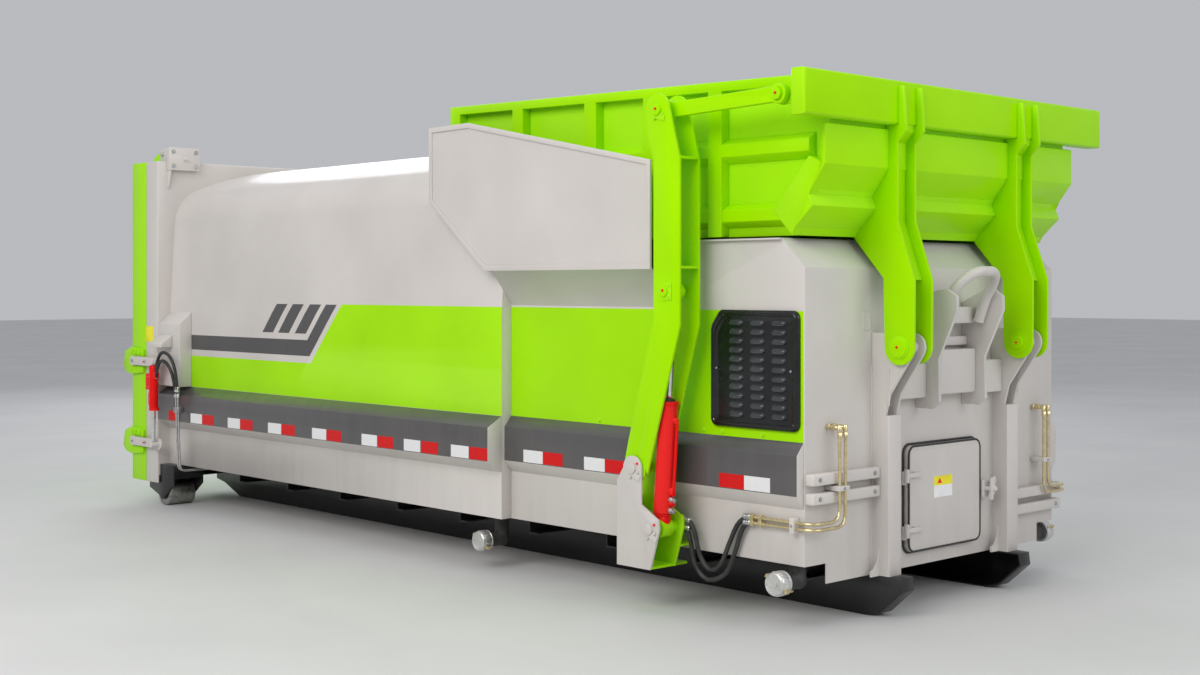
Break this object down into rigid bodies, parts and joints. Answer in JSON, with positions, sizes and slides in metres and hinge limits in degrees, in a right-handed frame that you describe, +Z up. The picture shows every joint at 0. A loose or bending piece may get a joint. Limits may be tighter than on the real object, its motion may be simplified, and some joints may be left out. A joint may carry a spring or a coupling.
{
  "type": "mobile waste compactor container",
  "caption": "Hook-lift mobile waste compactor: closed container, compactor head, tip-over loading hopper on lift arms, rear tailgate, skids and rear rollers.",
  "frame": {"origin": "bottom centre of the bounding box: on the ground, midway along the length and on the middle plane", "axes": "+X towards the hook end, +Z up, +Y across the body; left in a name means -Y, as seen when facing the hook end from outside"},
  "size_m": [6.295, 2.544, 2.48],
  "materials": {
    "grey_paint": "satin",
    "band_paint": "satin",
    "vent_plastic": "matte",
    "black_paint": "satin",
    "roller_steel": "worn",
    "cap_aluminium": "satin",
    "zinc_yellow": "satin",
    "hose_rubber": "matte",
    "lime_paint": "gloss",
    "red_paint": "gloss",
    "rod_chrome": "polished"
  },
  "bodies": {
    "root": {"container_shell": "grey_paint", "container_floor": "grey_paint", "container_bulkhead": "grey_paint", "rear_frame": "grey_paint", "door_hinge_brackets": "grey_paint", "head_shell": "grey_paint", "head_floor": "grey_paint", "head_decks": "grey_paint", "packer_ram": "band_paint", "power_pack": "band_paint", "rub_rails": "band_paint", "chute_guards": "grey_paint", "vent_panels": "vent_plastic", "skid_rails": "black_paint", "crossmembers": "black_paint", "roller_brackets": "black_paint", "drain_fittings": "cap_aluminium", "hook_columns": "grey_paint", "hook_plates": "grey_paint", "hook_bar": "grey_paint", "hook_crossbeams": "grey_paint", "step_bars": "grey_paint", "hydraulic_pipes": "zinc_yellow", "lift_brackets": "grey_paint", "lift_hoses": "hose_rubber", "latch_levers": "grey_paint", "latch_cylinders": "red_paint", "latch_covers": "grey_paint", "service_latch": "grey_paint"},
    "hopper": {"hopper_shell": "lime_paint", "hopper_ribs": "lime_paint", "hopper_beam": "lime_paint", "hopper_arms": "lime_paint"},
    "arm_left": {"lift_arm_left": "lime_paint"},
    "arm_right": {"lift_arm_right": "lime_paint"},
    "link_left": {"tie_link_left": "lime_paint"},
    "link_right": {"tie_link_right": "lime_paint"},
    "barrel_left": {"lift_barrel_left": "red_paint"},
    "barrel_right": {"lift_barrel_right": "red_paint"},
    "rod_left": {"lift_rod_left": "rod_chrome"},
    "rod_right": {"lift_rod_right": "rod_chrome"},
    "tailgate": {"rear_door": "lime_paint", "rear_door_ears": "lime_paint"},
    "service_leaf": {"service_door": "grey_paint"},
    "roller_left": {"rear_roller_left": "roller_steel"},
    "roller_right": {"rear_roller_right": "roller_steel"}
  },
  "joints": [
    {"name": "hopper_tilt", "type": "hinge", "parent": "root", "child": "hopper", "pos_m": [3.034, 0, 1.225], "axis": [0, 1, 0], "range_deg": [0, 174]},
    {"name": "arm_swing_left", "type": "hinge", "parent": "root", "child": "arm_left", "pos_m": [2.053, -1.1765, 0.661], "axis": [0, 1, 0], "range_deg": [0, 84.03]},
    {"name": "link_swing_left", "type": "hinge", "parent": "hopper", "child": "link_left", "pos_m": [2.865, -1.1765, 2.319], "axis": [0, 1, 0], "range_deg": [-47.85, 0]},
    {"name": "barrel_swing_left", "type": "hinge", "parent": "root", "child": "barrel_left", "pos_m": [2.163, -1.1765, 0.392], "axis": [0, 1, 0], "range_deg": [0, 72.94]},
    {"name": "rod_slide_left", "type": "slide", "parent": "barrel_left", "child": "rod_left", "axis": [0.0763, 0, 0.9971], "range_m": [-0.3491, 0]},
    {"name": "arm_swing_right", "type": "hinge", "parent": "root", "child": "arm_right", "pos_m": [2.053, 1.1765, 0.661], "axis": [0, 1, 0], "range_deg": [0, 84.03]},
    {"name": "link_swing_right", "type": "hinge", "parent": "hopper", "child": "link_right", "pos_m": [2.865, 1.1765, 2.319], "axis": [0, 1, 0], "range_deg": [-47.85, 0]},
    {"name": "barrel_swing_right", "type": "hinge", "parent": "root", "child": "barrel_right", "pos_m": [2.163, 1.1765, 0.392], "axis": [0, 1, 0], "range_deg": [0, 72.94]},
    {"name": "rod_slide_right", "type": "slide", "parent": "barrel_right", "child": "rod_right", "axis": [0.0763, 0, 0.9971], "range_m": [-0.3491, 0]},
    {"name": "tailgate_swing", "type": "hinge", "parent": "root", "child": "tailgate", "pos_m": [-2.8, 0, 2.412], "axis": [0, 1, 0], "range_deg": [0, 95]},
    {"name": "service_door_swing", "type": "hinge", "parent": "root", "child": "service_leaf", "pos_m": [2.883, -0.311, 0.5], "axis": [0, 0, 1], "range_deg": [-105, 0]},
    {"name": "roller_spin_left", "type": "hinge", "parent": "root", "child": "roller_left", "pos_m": [-2.65, -1.04, 0.085], "axis": [0, 1, 0], "continuous": true},
    {"name": "roller_spin_right", "type": "hinge", "parent": "root", "child": "roller_right", "pos_m": [-2.65, 1.04, 0.085], "axis": [0, 1, 0], "continuous": true}
  ],
  "couplings": [
    {"joint": "arm_swing_left", "follows": "hopper_tilt", "ratio": 0.48007},
    {"joint": "link_swing_left", "follows": "hopper_tilt", "ratio": -0.27213},
    {"joint": "barrel_swing_left", "follows": "hopper_tilt", "ratio": 0.41631},
    {"joint": "rod_slide_left", "follows": "hopper_tilt", "m_per_rad": -0.11396},
    {"joint": "arm_swing_right", "follows": "hopper_tilt", "ratio": 0.48007},
    {"joint": "link_swing_right", "follows": "hopper_tilt", "ratio": -0.27213},
    {"joint": "barrel_swing_right", "follows": "hopper_tilt", "ratio": 0.41631},
    {"joint": "rod_slide_right", "follows": "hopper_tilt", "m_per_rad": -0.11396}
  ]
}
